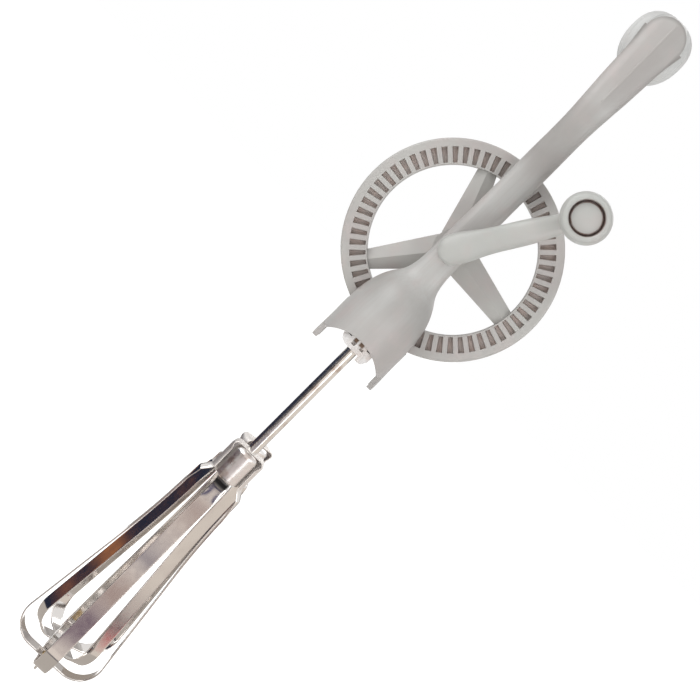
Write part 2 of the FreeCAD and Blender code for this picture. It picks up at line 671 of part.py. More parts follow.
def cutBody(body, sketch, name, length):
    """A pocket that follows its sketch's normal."""
    pocket = body.newObject("PartDesign::Pocket", name)
    pocket.Profile = sketch
    pocket.setExpression("Length", length)
    pocket.Reversed = True
    body.Tip = pocket
    doc.recompute()
    return pocket


def makeKnobPin():
    """Pin pressed into the boss, with a low domed head in the recess of the knob."""
    shank = size("pinRadius")
    head = size("pinHeadRadius")
    end = armBack - size("runningFit")
    seat = recessFloor - size("endPlay")
    top = seat - size("pinHeadThick")
    edge = between(seat, top, 0.6)
    turnedBody("knob_pin", "XY_Plane", [
        (0, end), (shank, end), (shank, seat), (head, seat), (head, edge),
        (0.8, top, head * 0.6, between(edge, top, 0.7)), (0, top),
    ])
    return placeOnCrank(doc.getObject("knob_pin"), "knob_pin")


def knobLevel(share):
    """The level at a share of the crank knob's length from its base."""
    return between(knobBase, knobEnd, share)


def makeCrankKnob():
    """Turned finger knob, narrow at the arm and widest near its rounded, recessed end."""
    bore = size("pinRadius") + size("runningFit")
    wide = size("knobRadius")
    recess = size("recessRadius")
    lip = size("recessLip")
    turnedBody("crank_knob", "XY_Plane", [
        (bore, knobBase), (wide * 0.7, knobBase), (wide * 0.76, knobLevel(0.04)),
        (wide, knobLevel(0.71), wide * 0.84, knobLevel(0.4)),
        (wide * 0.96, knobLevel(0.9), wide * 1.003, knobLevel(0.85)),
        (wide * 0.80, knobEnd, wide * 0.91, knobLevel(0.98)),
        (recess, knobEnd + lip, recess + lip * 0.4, knobEnd + lip * 0.22),
        (recess, recessFloor), (bore, recessFloor),
    ])
    return placeOnCrank(doc.getObject("crank_knob"), "crank_knob")


def placeOnCrank(piece, label):
    """Moves a turned piece from the wheel axis to the axis of the crank knob."""
    angle = math.radians(size("crankAngle"))
    reach = size("crankReach")
    return finish(piece, label, side=reach * math.cos(angle), rise=reach * math.sin(angle))


# ---- Shafts, pinions and their bush

def bushOutline(half, top, base):
    """Front view of the bush plate, with one lower corner well rounded."""
    corner = size("bushRound")
    slope = corner * (1 - math.sqrt(0.5))
    return [(half, top), (half, base), (corner - half, base),
            (-half, base + corner, slope - half, base + slope), (-half, top)]


def makeBush():
    """White bush across the mouth of the bell: a plate, two towers, a tongue at each end and a foot."""
    half = size("bushHalfWide")
    top = -size("bushDrop")
    base = top - size("bushThick")
    sunk = top - size("bushSkin") / 2
    run = size("runout")
    inner = bellHalfDeep - size("bellWall") - size("bushFit")
    side = size("bellHalfWide") - size("bellWall") - size("bushFit")
    plate = paddedBody("bush_plate", bushOutline(half, top, base), -inner, inner)
    pieces = [plate]
    for sign in (-1, 1):
        low = -inner if sign < 0 else inner - size("tongueDeep")
        pieces.append(addBox("bush_tongue_%d" % (sign + 1), (-size("tongueWide") / 2, low, base),
                             (size("tongueWide") / 2, low + size("tongueDeep"), top + size("tongueRise"))))
    right = half - size("bushWall") / 3
    low = base - size("footDrop")
    turn = size("footDrop")
    slope = turn * (1 - math.sqrt(0.5))
    pieces.append(paddedBody("bush_foot", [
        (right - size("footWide"), sunk), (right - size("footWide"), low), (right - turn, low),
        (right, low + turn, right - slope, low + slope), (right, sunk),
    ], -inner, size("tongueDeep") - inner))
    block = fuseAll("bush_block", pieces)
    oval = doc.addObject("Part::Feature", "bush_oval")
    tall = size("bushThick") + size("tongueRise") + 2 * run
    oval.Shape = Part.Face(ovalWire(side, inner, 0, base - run, 2.2)).extrude(vec(0, 0, tall))
    trimmed = combine("Part::Common", "bush_trimmed", block, oval)

    clear = size("towerRadius") + size("bushWall")
    hollow = addBox("bush_hollow", (size("bushRound") - half, clear - shaftSide, base - run),
                    (half - size("bushWall"), shaftSide - clear, top - size("bushSkin")))
    cutters = [hollow]
    wide = size("windowWide")
    for name, middle, high in (("left", -size("windowLeft"), wide),
                               ("right", size("windowRight"), wide * 0.6)):
        level = between(base, top, 0.5) + size("windowUp")
        window = addBox("bush_window_" + name, (middle - wide / 2, -inner - run, level - high / 2),
                        (middle + wide / 2, size("windowDeep") - inner, level + high / 2))
        cutters.append(window)
    towers = [trimmed]
    for sign in (-1, 1):
        towers.append(addCylinder("bush_tower_%d" % (sign + 1), "Sizes.towerRadius", towerTop - sunk,
                                  vec(0, sign * shaftSide, sunk)))
        cutters.append(addCylinder("bush_bore_%d" % (sign + 1), shaftFit, cutLong,
                                   vec(0, sign * shaftSide, base - cutLong / 2)))
    solid = fuseAll("bush_solid", towers)
    return finish(cutAll("lower_bush", solid, cutters), "lower_bush")


def makeShaft(name, side):
    """Beater shaft: the top runs in the roof of the bell, the bottom is headed under the blades."""
    radius = size("shaftRadius")
    head = size("headRadius")
    top = roofLevel + size("shaftInRoof")
    base = cupBottom - size("stripThick") - size("runningFit")
    foot = base - size("headThick")
    bevel = 0.4
    turnedBody(name + "_shaft", "XZ_Plane", [
        (0, top), (radius - bevel, top), (radius, top - bevel), (radius, base), (head, base),
        (head * 0.25, foot, head * 0.7, between(base, foot, 0.67)), (0, foot),
    ])
    return finish(doc.getObject(name + "_shaft"), name + "_shaft", along=side * shaftSide)


def makePinion(name, side):
    """Straight-toothed pinion with a collar below, one tooth pointing at the wheel."""
    body = newBody(name + "_pinion")
    core = newSketch(body, "XY_Plane", name + "_core", pinionBase)
    core.addGeometry(Part.Circle(vec(0, 0, 0), vec(0, 0, 1), pinionRoot), False)
    addPad(body, core, name + "_core_pad", "Sizes.pinionLong")
    outline = newSketch(body, "XY_Plane", name + "_tooth", pinionBase)
    inRoot = pinionRoot - size("pinionDedendum") / 3
    foot = size("toothFoot") / 2
    flank = size("toothPitch") / 2
    tip = size("toothTip") / 2
    drawOutline(outline, [
        (foot, inRoot), (foot, pinionRoot), (flank, pinionPitch), (tip, pinionTip - tip / 2),
        (tip / 2, pinionTip), (-tip / 2, pinionTip), (-tip, pinionTip - tip / 2), (-flank, pinionPitch),
        (-foot, pinionRoot), (-foot, inRoot),
    ])
    tooth = addPad(body, outline, name + "_tooth_pad", "Sizes.pinionLong")
    doc.recompute()
    teeth = body.newObject("PartDesign::PolarPattern", name + "_teeth")
    teeth.Originals = [tooth]
    teeth.Axis = ([item for item in body.Origin.OriginFeatures if item.Role == "Z_Axis"][0], [""])
    teeth.Angle = 360
    teeth.setExpression("Occurrences", "Sizes.pinionTeeth")
    body.Tip = teeth
    doc.recompute()
    bore = newSketch(body, "XY_Plane", name + "_bore", pinionBase)
    bore.addGeometry(Part.Circle(vec(0, 0, 0), vec(0, 0, 1), shaftSeat), False)
    cutBody(body, bore, name + "_bore_cut", "Sizes.pinionLong")
    turn = 0 if side < 0 else 180
    return finish(body, name + "_pinion", turn=turn, axis=vec(0, 0, 1), along=side * shaftSide)


def makeThrustWasher(name, side):
    """Washer between a pinion and its tower."""
    low = towerTop + size("endPlay")
    high = low + size("washerThick")
    outer = size("towerRadius")
    turnedBody(name + "_washer", "XZ_Plane",
               [(shaftSeat, low), (outer, low), (outer, high), (shaftSeat, high)])
    return finish(doc.getObject(name + "_washer"), name + "_washer", along=side * shaftSide)


# ---- Beaters

def makeCup(name, side):
    """Domed steel cup that clamps the strips to the shaft."""
    radius = size("cupRadius")
    bevel = 0.3
    edge = size("cupRound")
    slope = edge * (1 - math.sqrt(0.5))
    turnedBody(name + "_cup", "XZ_Plane", [
        (shaftSeat, cupBottom), (radius - bevel, cupBottom), (radius, cupBottom + bevel),
        (radius, cupTop - edge), (radius - edge, cupTop, radius - slope, cupTop - slope),
        (shaftSeat, cupTop),
    ])
    return finish(doc.getObject(name + "_cup"), name + "_cup", along=side * shaftSide)


def roundedWire(corners):
    """A closed wire in the XZ plane through (x, z, radius) corners, each rounded by its radius."""
    count = len(corners)
    points = [vec(x, 0, z) for x, z, radius in corners]
    edges = []
    previousEnd = None
    firstStart = None
    for index in range(count):
        here = points[index]
        before = (points[index - 1] - here).normalize()
        after = (points[(index + 1) % count] - here).normalize()
        half = before.getAngle(after) / 2
        cut = corners[index][2] / math.tan(half)
        start = here + before * cut
        end = here + after * cut
        bisector = (before + after).normalize()
        middle = here + bisector * (corners[index][2] / math.sin(half) - corners[index][2])
        if previousEnd is not None:
            edges.append(Part.LineSegment(previousEnd, start).toShape())
        else:
            firstStart = start
        edges.append(Part.Arc(start, middle, end).toShape())
        previousEnd = end
    edges.append(Part.LineSegment(previousEnd, firstStart).toShape())
    return Part.Wire(edges)


def stripLoop(half):
    """A closed strip: half its middle line, from the top to the floor, mirrored and given its section."""
    mirrored = [(-x, z, radius) for x, z, radius in reversed(half)]
    middle = roundedWire(half + mirrored)
    outside = middle.makeOffset2D(size("stripThick") / 2)
    inside = middle.makeOffset2D(-size("stripThick") / 2)
    wide = size("stripWide")
    filled = Part.Face(outside).extrude(vec(0, wide, 0))
    opening = Part.Face(inside).extrude(vec(0, wide, 0))
    strip = filled.cut(opening)
    strip.translate(vec(0, -wide / 2, 0))
    return strip


def bladeLine(floor):
    """The part of the middle line that both loops share, from the flare to the floor."""
    half = size("stripThick") / 2
    return [
        (size("waistRadius") - half, cupBottom - size("waistFall"), size("waistRound")),
        (size("beaterRadius") - half, floor, size("cornerRadius")),
    ]


def makeOuterLoop(name, side, turn):
    """Strip that wraps over the cup and lies on top at the floor."""
    half = size("stripThick") / 2
    beside = size("cupRadius") + size("stripGap") + half
    line = [
        (beside, cupTop + half, size("stripRound")),
        (beside, cupBottom + size("flareRise"), size("flareTop")),
        (size("flareRadius") - half, cupBottom - size("flareDrop"), size("flareFoot")),
    ] + bladeLine(floorLevel + size("stripThick") + half)
    hole = Part.makeCylinder(shaftSeat, 2 * size("runout"), vec(0, 0, cupTop - size("runout")))
    rivet = rivetHole()
    solid = stripLoop(line).cut([hole, rivet])
    return addSolid(name + "_outer_loop", solid, turn=turn, axis=vec(0, 0, 1), along=side * shaftSide)


def makeInnerLoop(name, side, turn):
    """Strip whose top lies under the cup and whose floor passes under the other strip."""
    half = size("stripThick") / 2
    corner = (size("flareRadius") - half, cupBottom - half, size("innerRound"))
    line = [corner] + bladeLine(floorLevel + half)
    hole = Part.makeCylinder(shaftSeat, 2 * size("runout"), vec(0, 0, cupBottom - size("runout")))
    solid = stripLoop(line).cut([hole, rivetHole()])
    return addSolid(name + "_inner_loop", solid, turn=turn + 90, axis=vec(0, 0, 1),
                    along=side * shaftSide)


def rivetHole():
    run = size("runout")
    return Part.makeCylinder(size("rivetRadius") + size("seatFit"), 3 * run, vec(0, 0, floorLevel - run))


def makeTipRivet(name, side):
    """Rivet that joins the two strips where they cross."""
    radius = size("rivetRadius")
    wide = radius + size("rivetLip")
    crown = radius + size("rivetLip") * 0.6
    head = size("rivetHead")
    low = floorLevel
    high = floorLevel + 2 * size("stripThick")
    turnedBody(name + "_tip_rivet", "XZ_Plane", [
        (0, low - head), (crown, low - head * 0.75), (wide, low), (radius, low), (radius, high),
        (wide, high), (crown, high + head * 0.75), (0, high + head),
    ])
    return finish(doc.getObject(name + "_tip_rivet"), name + "_tip_rivet", along=side * shaftSide)


def makeTipHook(name, side):
    """Wire eye that hangs under the crossing of the front beater."""
    ring = size("hookRadius")
    wire = size("hookWire")
    centre = vec(0, 0, floorLevel - size("rivetHead") - size("runningFit") - ring - wire)
    eye = Part.makeTorus(ring, wire, centre, vec(1, 0, 0))
    return addSolid(name + "_tip_eye", eye, along=side * shaftSide)


def makeBeater(name, side, turn):
    makeShaft(name, side)
    makePinion(name, side)
    makeThrustWasher(name, side)
    makeCup(name, side)
    makeOuterLoop(name, side, turn)
    makeInnerLoop(name, side, turn)
    makeTipRivet(name, side)


makeFrame()
makePalmKnob()
makeBush()
makeWheel()
makeAxle()
makeAxleKeepers()
makeCrankArm()
makeKnobPin()
makeCrankKnob()
makeBeater("front", -1, size("beaterTurn"))
makeBeater("rear", 1, size("beaterPhase") - size("beaterTurn"))
makeTipHook("front", -1)
doc.recompute()

nodes = [
    "frame_body", "palm_knob", "lower_bush",
    "drive_wheel", "crank_axle", "axle_washer", "axle_clip", "crank_arm", "knob_pin", "crank_knob",
]
for name in ("front", "rear"):
    nodes += [name + part for part in ("_shaft", "_pinion", "_washer", "_cup", "_outer_loop",
                                       "_inner_loop", "_tip_rivet")]
nodes.append("front_tip_eye")

for item in doc.Objects:
    if "Invalid" in item.State or "Error" in item.State:
        raise RuntimeError("failed feature: " + item.Name)
for node in nodes:
    shape = doc.getObjectsByLabel(node)[0].Shape
    if shape.isNull() or not shape.isValid():
        raise RuntimeError("bad shape: " + node)
for node in nodes:
    doc.getObjectsByLabel(node)[0].Shape.exportStep("parts/%s.step" % node)
print("written:", len(nodes), "pieces")
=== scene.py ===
import bpy
import json
import math
import numpy as np
from mathutils import Matrix, Vector


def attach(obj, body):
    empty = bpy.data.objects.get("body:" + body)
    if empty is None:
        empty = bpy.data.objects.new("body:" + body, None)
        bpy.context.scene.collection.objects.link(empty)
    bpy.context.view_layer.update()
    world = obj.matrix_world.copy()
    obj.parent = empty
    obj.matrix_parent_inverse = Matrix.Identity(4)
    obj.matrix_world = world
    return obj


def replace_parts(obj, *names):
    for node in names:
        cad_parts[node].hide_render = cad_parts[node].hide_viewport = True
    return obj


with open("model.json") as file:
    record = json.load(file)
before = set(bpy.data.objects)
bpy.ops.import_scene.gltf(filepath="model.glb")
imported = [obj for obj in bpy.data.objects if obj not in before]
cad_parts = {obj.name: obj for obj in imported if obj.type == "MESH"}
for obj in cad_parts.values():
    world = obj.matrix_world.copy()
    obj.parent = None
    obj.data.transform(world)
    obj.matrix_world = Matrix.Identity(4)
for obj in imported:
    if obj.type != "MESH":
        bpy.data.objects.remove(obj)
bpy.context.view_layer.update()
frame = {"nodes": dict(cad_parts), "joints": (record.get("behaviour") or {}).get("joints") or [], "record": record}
jointPlace = {joint["name"]: joint["pos_m"] for joint in frame["joints"]}
print("frame loaded:", len(frame["nodes"]), "nodes")

# Camera and studio. Every length is in metres, and angles are in degrees.
cameraValues = {
    "distance": 0.45,       # lens to the plane of the drive wheel
    "level": jointPlace["crank_turn"][2],
    "roll": 45.0,           # the handle points to the upper right
    "lens": 68.07,
    "sensor": 36.0,
    "shiftRight": -0.1469,  # the axis of the lens meets the hub, right of and above the middle
    "shiftUp": -0.143,
    "nearest": 0.01,
}

studioValues = {
    "worldLight": 0.47,
    "target": (0.0, 0.0, 0.0),
    "floorRise": -0.33,
    "floorHalf": 6.0,
    "floorColour": (0.86, 0.86, 0.85),
    "floorLift": 0.72,      # keeps the lit floor white and leaves its shadow grey
    "bandFade": 0.3,        # share of a band's half height over which its edges fade
}

lampValues = {
    "key": {"place": (-0.85, -0.55, 0.45), "size": 0.9, "power": 7.3},
    "fill": {"place": (0.75, -0.80, -0.05), "size": 0.8, "power": 5.6},
    "back": {"place": (0.25, 0.90, 0.45), "size": 0.7, "power": 3.5},
}

# Cards that only mirrored rays meet, as a room round the bright steel. A band is given by its rise,
# its half height and its colour.
cardValues = {
    "leftCard": {
        "place": (-0.42, 0.05, -0.16), "half": (0.52, 0.30), "colour": (0.022, 0.028, 0.052),
        "bands": [(-0.176, 0.008, (0.42, 0.17, 0.075)), (-0.207, 0.004, (0.30, 0.12, 0.070))],
        "wobble": 0.016, "wobbleScale": 26.0,
    },
    "frontCard": {
        "place": (0.0, -0.32, -0.12), "half": (0.16, 0.13), "colour": (0.90, 0.82, 0.76),
        "bands": [(-0.106, 0.013, (0.09, 0.085, 0.17)), (-0.140, 0.008, (0.46, 0.35, 0.32)),
                  (-0.162, 0.010, (0.20, 0.14, 0.19))],
        "wobble": 0.015, "wobbleScale": 18.0,
    },
    "rightCard": {
        "place": (0.44, -0.05, -0.16), "half": (0.46, 0.26), "colour": (0.84, 0.77, 0.70),
        "bands": [(-0.178, 0.010, (0.66, 0.59, 0.55)), (-0.193, 0.005, (0.02, 0.02, 0.05)),
                  (-0.204, 0.0035, (0.65, 0.02, 0.04))],
        "wobble": 0.02, "wobbleScale": 14.0,
    },
    "shaftCard": {
        "place": (-0.20, -0.28, -0.055), "half": (0.11, 0.060), "colour": (0.085, 0.080, 0.082),
        "bands": [(-0.040, 0.006, (0.16, 0.11, 0.09))],
        "wobble": 0.02, "wobbleScale": 20.0,
    },
    "rearCard": {
        "place": (0.0, 0.80, -0.10), "half": (0.75, 0.55), "colour": (0.60, 0.585, 0.57),
        "bands": [(-0.30, 0.10, (0.34, 0.32, 0.31)), (0.10, 0.08, (0.40, 0.38, 0.37))],
        "wobble": 0.30, "wobbleScale": 5.0,
    },
    "underCard": {
        "place": (0.0, -0.04, -0.29), "half": (0.44, 0.60), "colour": (0.56, 0.52, 0.48),
        "bands": [(-0.26, 0.012, (0.20, 0.19, 0.20))],
        "wobble": 0.12, "wobbleScale": 9.0,
    },
}


def addCamera(values):
    camera = bpy.data.cameras.new("camera")
    camera.sensor_width = values["sensor"]
    camera.lens = values["lens"]
    camera.shift_x = values["shiftRight"]
    camera.shift_y = values["shiftUp"]
    camera.clip_start = values["nearest"]
    turned = math.radians(values["roll"])
    right = Vector((math.cos(turned), 0, math.sin(turned)))
    up = Vector((-math.sin(turned), 0, math.cos(turned)))
    turn = Matrix((right, up, Vector((0, -1, 0)))).transposed().to_4x4()
    holder = bpy.data.objects.new("camera", camera)
    holder.matrix_world = Matrix.Translation((0, -values["distance"], values["level"])) @ turn
    bpy.context.scene.collection.objects.link(holder)
    bpy.context.scene.camera = holder


def addLamp(name, values, target):
    lamp = bpy.data.lights.new(name, "AREA")
    lamp.size = values["size"]
    lamp.energy = values["power"]
    holder = bpy.data.objects.new(name, lamp)
    holder.location = values["place"]
    aim = Vector(target) - holder.location
    holder.rotation_euler = aim.to_track_quat("-Z", "Y").to_euler()
    bpy.context.scene.collection.objects.link(holder)


# An input is a value or another node's output.
def addNode(tree, kind, inputs=None, **settings):
    node = tree.nodes.new(kind)
    for key, value in settings.items():
        setattr(node, key, value)
    for key, value in (inputs or {}).items():
        if isinstance(value, bpy.types.NodeSocket):
            tree.links.new(value, node.inputs[key])
        else:
            node.inputs[key].default_value = value
    return node


def calc(tree, operation, *values):
    node = addNode(tree, "ShaderNodeMath", dict(enumerate(values)), operation=operation)
    return node.outputs[0]


def product(tree, first, *others):
    for other in others:
        first = calc(tree, "MULTIPLY", first, other)
    return first


def ramp(tree, value, low, high, fromValue=0.0, toValue=1.0):
    return addNode(tree, "ShaderNodeMapRange", {
        "Value": value, "From Min": low, "From Max": high, "To Min": fromValue, "To Max": toValue,
    }, interpolation_type="SMOOTHSTEP").outputs[0]


def blend(tree, factor, first, second):
    node = addNode(tree, "ShaderNodeMix", {0: factor, 6: first, 7: second}, data_type="RGBA")
    return node.outputs[2]


def noise(tree, place, scale, detail):
    node = addNode(tree, "ShaderNodeTexNoise", {"Vector": place, "Scale": scale, "Detail": detail})
    return node.outputs["Fac"]


# The place on the object, as a vector and as its X, Y and Z.
def objectPlace(tree):
    place = addNode(tree, "ShaderNodeTexCoord").outputs["Object"]
    return place, addNode(tree, "ShaderNodeSeparateXYZ", {0: place}).outputs


# 1 for rays of the camera and for rays mirrored or passed on to it.
def whiteRays(tree):
    path = addNode(tree, "ShaderNodeLightPath")
    seen = calc(tree, "MAXIMUM", path.outputs["Is Camera Ray"], path.outputs["Is Glossy Ray"])
    return calc(tree, "MAXIMUM", seen, path.outputs["Is Transmission Ray"])


def emptyTree(owner):
    owner.use_nodes = True
    owner.node_tree.nodes.clear()
    return owner.node_tree


def setWorld(values):
    world = bpy.data.worlds.new("studio")
    tree = emptyTree(world)
    strength = addNode(tree, "ShaderNodeMapRange",
                       {"Value": whiteRays(tree), "To Min": values["worldLight"], "To Max": 1.0})
    light = addNode(tree, "ShaderNodeBackground",
                    {"Color": (1, 1, 1, 1), "Strength": strength.outputs[0]})
    addNode(tree, "ShaderNodeOutputWorld", {0: light.outputs[0]})
    bpy.context.scene.world = world


def flatSheet(name, corners):
    mesh = bpy.data.meshes.new(name)
    mesh.from_pydata([tuple(corner) for corner in corners], [], [(0, 1, 2, 3)])
    sheet = bpy.data.objects.new(name, mesh)
    bpy.context.scene.collection.objects.link(sheet)
    return sheet


def addFloor(values):
    half = values["floorHalf"]
    floor = flatSheet("floor", [(x * half, y * half, values["floorRise"])
                                for x, y in ((-1, -1), (1, -1), (1, 1), (-1, 1))])
    material = bpy.data.materials.new("paleFloor")
    tree = emptyTree(material)
    diffuse = addNode(tree, "ShaderNodeBsdfDiffuse", {"Color": (*values["floorColour"], 1)})
    lift = product(tree, whiteRays(tree), values["floorLift"])
    glow = addNode(tree, "ShaderNodeEmission", {"Color": (1, 1, 1, 1), "Strength": lift})
    both = addNode(tree, "ShaderNodeAddShader", {0: diffuse.outputs[0], 1: glow.outputs[0]})
    addNode(tree, "ShaderNodeOutputMaterial", {0: both.outputs[0]})
    floor.data.materials.append(material)


def addCard(name, values, fade):
    place = Vector(values["place"])
    facing = place.normalized()
    across = facing.cross(Vector((0, 0, 1))).normalized() * values["half"][0]
    upward = across.cross(facing).normalized() * values["half"][1]
    card = flatSheet(name, [place - across - upward, place + across - upward,
                            place + across + upward, place - across + upward])
    for ray in ("camera", "diffuse", "transmission", "volume_scatter", "shadow"):
        setattr(card, "visible_" + ray, False)
    material = bpy.data.materials.new(name)
    tree = emptyTree(material)
    spot, axes = objectPlace(tree)
    sway = calc(tree, "SUBTRACT", noise(tree, spot, values["wobbleScale"], 1.5), 0.5)
    rise = calc(tree, "ADD", axes["Z"], product(tree, sway, values["wobble"]))
    colour = (*values["colour"], 1)
    for level, half, bandColour in values["bands"]:
        away = calc(tree, "ABSOLUTE", calc(tree, "SUBTRACT", rise, level))
        share = ramp(tree, away, half * (1 - fade), half * (1 + fade), 1.0, 0.0)
        colour = blend(tree, share, colour, (*bandColour, 1))
    glow = addNode(tree, "ShaderNodeEmission", {"Color": colour})
    addNode(tree, "ShaderNodeOutputMaterial", {0: glow.outputs[0]})
    card.data.materials.append(material)


addCamera(cameraValues)
setWorld(studioValues)
for lampName, values in lampValues.items():
    addLamp(lampName, values, studioValues["target"])
addFloor(studioValues)
for cardName, values in cardValues.items():
    addCard(cardName, values, studioValues["bandFade"])
bpy.context.scene.view_settings.view_transform = "Standard"
print("studio ready")


# Shared effects of the finishes, as node groups. The values before each are those that all its
# materials share.
def newGroup(name, inputs, outputs):
    group = bpy.data.node_groups.new(name, "ShaderNodeTree")
    for label, kind in inputs:
        group.interface.new_socket(
            name=label, in_out="INPUT", socket_type="NodeSocket" + kind)
    for label, kind in outputs:
        group.interface.new_socket(
            name=label, in_out="OUTPUT", socket_type="NodeSocket" + kind)
    given = group.nodes.new("NodeGroupInput").outputs
    return group, given, group.nodes.new("NodeGroupOutput").inputs


mouldedPattern = {
    "cloudLimits": (0.36, 0.66),
    "blotchFiner": 3.7,
    "blotchLimits": (0.48, 0.72),
    "streakScale": (1100.0, 1100.0, 30.0),
    "streakLimits": (0.44, 0.62),
    "streakHigh": 0.35,
    "grainScale": 2400.0,
    "wearScale": 140.0,
    "wearShare": 0.22,
}


# Cloudy colour of a moulding: a slow noise fades the base into the shade, a finer one adds a blush,
# a noise drawn out along Z leaves flow lines, and a fine one gives the grain of the mould.
def makeMouldedGroup(pattern):
    group, given, result = newGroup("mouldedColour", [
        ("Base", "Color"), ("Shade", "Color"), ("Blush", "Color"), ("Cloud Scale", "Float"),
        ("Blush Share", "Float"), ("Streak Share", "Float"), ("Gloss", "Float"),
    ], [("Colour", "Color"), ("Roughness", "Float"), ("Height", "Float")])
    place = addNode(group, "ShaderNodeTexCoord").outputs["Object"]
    cloud = ramp(group, noise(group, place, given["Cloud Scale"], 3.0), *pattern["cloudLimits"])
    colour = blend(group, cloud, given["Base"], given["Shade"])
    finer = product(group, given["Cloud Scale"], pattern["blotchFiner"])
    blotch = ramp(group, noise(group, place, finer, 4.0), *pattern["blotchLimits"])
    colour = blend(group, product(group, blotch, given["Blush Share"]), colour, given["Blush"])
    drawn = addNode(group, "ShaderNodeMapping", {"Vector": place, "Scale": pattern["streakScale"]})
    streak = ramp(group, noise(group, drawn.outputs[0], 1.0, 2.0), *pattern["streakLimits"])
    colour = blend(group, product(group, streak, given["Streak Share"]), colour, given["Shade"])
    wear = product(group, noise(group, place, pattern["wearScale"], 5.0), pattern["wearShare"])
    grain = noise(group, place, pattern["grainScale"], 3.0)
    height = calc(group, "ADD", product(group, streak, pattern["streakHigh"]), grain)
    group.links.new(colour, result["Colour"])
    group.links.new(calc(group, "ADD", wear, given["Gloss"]), result["Roughness"])
    group.links.new(height, result["Height"])
    return group


steelPattern = {
    "stainLimits": (0.52, 0.74),
    "lineScale": (2600.0, 2600.0, 45.0),
    "wearScale": 320.0,
    "wearShare": 0.14,
}


# Steel: a slow noise stains the base, a noise drawn out along Z leaves drawing lines, and a second
# slow one bends what the metal mirrors.
def makeSteelGroup(pattern):
    group, given, result = newGroup("rolledSteel", [
        ("Base", "Color"), ("Stain", "Color"), ("Stain Scale", "Float"), ("Stain Share", "Float"),
        ("Gloss", "Float"), ("Wave Scale", "Float"), ("Line Share", "Float"),
    ], [("Colour", "Color"), ("Roughness", "Float"), ("Height", "Float")])
    place = addNode(group, "ShaderNodeTexCoord").outputs["Object"]
    stain = ramp(group, noise(group, place, given["Stain Scale"], 4.0), *pattern["stainLimits"])
    stain = product(group, stain, given["Stain Share"])
    drawn = addNode(group, "ShaderNodeMapping", {"Vector": place, "Scale": pattern["lineScale"]})
    line = product(group, noise(group, drawn.outputs[0], 1.0, 2.0), given["Line Share"])
    wave = noise(group, place, given["Wave Scale"], 1.0)
    wear = product(group, noise(group, place, pattern["wearScale"], 4.0), pattern["wearShare"])
    group.links.new(blend(group, stain, given["Base"], given["Stain"]), result["Colour"])
    group.links.new(calc(group, "ADD", wear, given["Gloss"]), result["Roughness"])
    group.links.new(calc(group, "ADD", line, wave), result["Height"])
    return group


ringPattern = {"across": (1.0, 0.0, 1.0), "patchLimits": (0.30, 0.70)}


# A mask in a ring about an axis along Y, for painted light in the slots of the wheel and for dark
# brown at the crank knob. It is full within a first depth of its level, on both sides, and gone by
# a second one, and a noise varies it between its least and its most.
def makeRingGroup(pattern):
    group, given, result = newGroup("ringOfDirt", [
        ("Centre", "Vector"), ("Inner", "Float"), ("Outer", "Float"), ("Edge", "Float"),
        ("Level", "Float"), ("Full Depth", "Float"), ("No Depth", "Float"),
        ("Patch Scale", "Float"), ("Least", "Float"), ("Most", "Float"),
    ], [("Mask", "Float")])
    place, axes = objectPlace(group)

    def vectorCalc(operation, *values):
        inputs = dict(enumerate(values))
        return addNode(group, "ShaderNodeVectorMath", inputs, operation=operation).outputs

    away = vectorCalc("SUBTRACT", place, given["Centre"])[0]
    reach = vectorCalc("LENGTH", vectorCalc("MULTIPLY", away, pattern["across"])[0])["Value"]
    innerEnd = calc(group, "ADD", given["Inner"], given["Edge"])
    outerEnd = calc(group, "ADD", given["Outer"], given["Edge"])
    ring = product(group, ramp(group, reach, given["Inner"], innerEnd),
                   ramp(group, reach, given["Outer"], outerEnd, 1.0, 0.0))
    depth = calc(group, "ABSOLUTE", calc(group, "SUBTRACT", axes["Y"], given["Level"]))
    deep = ramp(group, depth, given["Full Depth"], given["No Depth"], 1.0, 0.0)
    patchy = ramp(group, noise(group, place, given["Patch Scale"], 3.0), *pattern["patchLimits"],
                  given["Least"], given["Most"])
    group.links.new(product(group, ring, deep, patchy), result["Mask"])
    return group


mouldedGroup = makeMouldedGroup(mouldedPattern)
steelGroup = makeSteelGroup(steelPattern)
ringGroup = makeRingGroup(ringPattern)


# An input such as "Cloud Scale" takes the value that is kept under cloudScale.
def placeGroup(tree, group, values):
    node = tree.nodes.new("ShaderNodeGroup")
    node.node_tree = group
    for socket in node.inputs:
        value = values[socket.name[0].lower() + socket.name[1:].replace(" ", "")]
        socket.default_value = (*value, 1) if socket.type == "RGBA" else value
    return node.outputs


# The frame's painted shade by place: the right half of the grip is painted a little darker than the
# left one, and so are its rounded edges, and belts on the ramp below it and on the shoulder of the bell.
def paintGripShade(tree, colour, values):
    axes = objectPlace(tree)[1]
    across, rise = axes["X"], axes["Z"]
    over = calc(tree, "MAXIMUM", calc(tree, "SUBTRACT", rise, values["endCentre"]), 0.0)
    squares = calc(tree, "ADD", product(tree, across, across), product(tree, over, over))
    reach = calc(tree, "SQRT", squares)
    onGrip = ramp(tree, rise, *values["grip"])
    edge = product(tree, ramp(tree, reach, *values["edge"], 0.0, values["edgeShare"]), onGrip)
    half = product(tree, ramp(tree, across, *values["middle"], 0.0, values["halfShare"]), onGrip)
    share = calc(tree, "MAXIMUM", edge, half)
    for foot, full, fade, top, most in values["belts"]:
        beltOfShade = product(tree, ramp(tree, rise, foot, full, 0.0, most),
                       ramp(tree, rise, fade, top, 1.0, 0.0))
        share = calc(tree, "MAXIMUM", share, beltOfShade)
    return blend(tree, share, colour, (*values["colour"], 1))
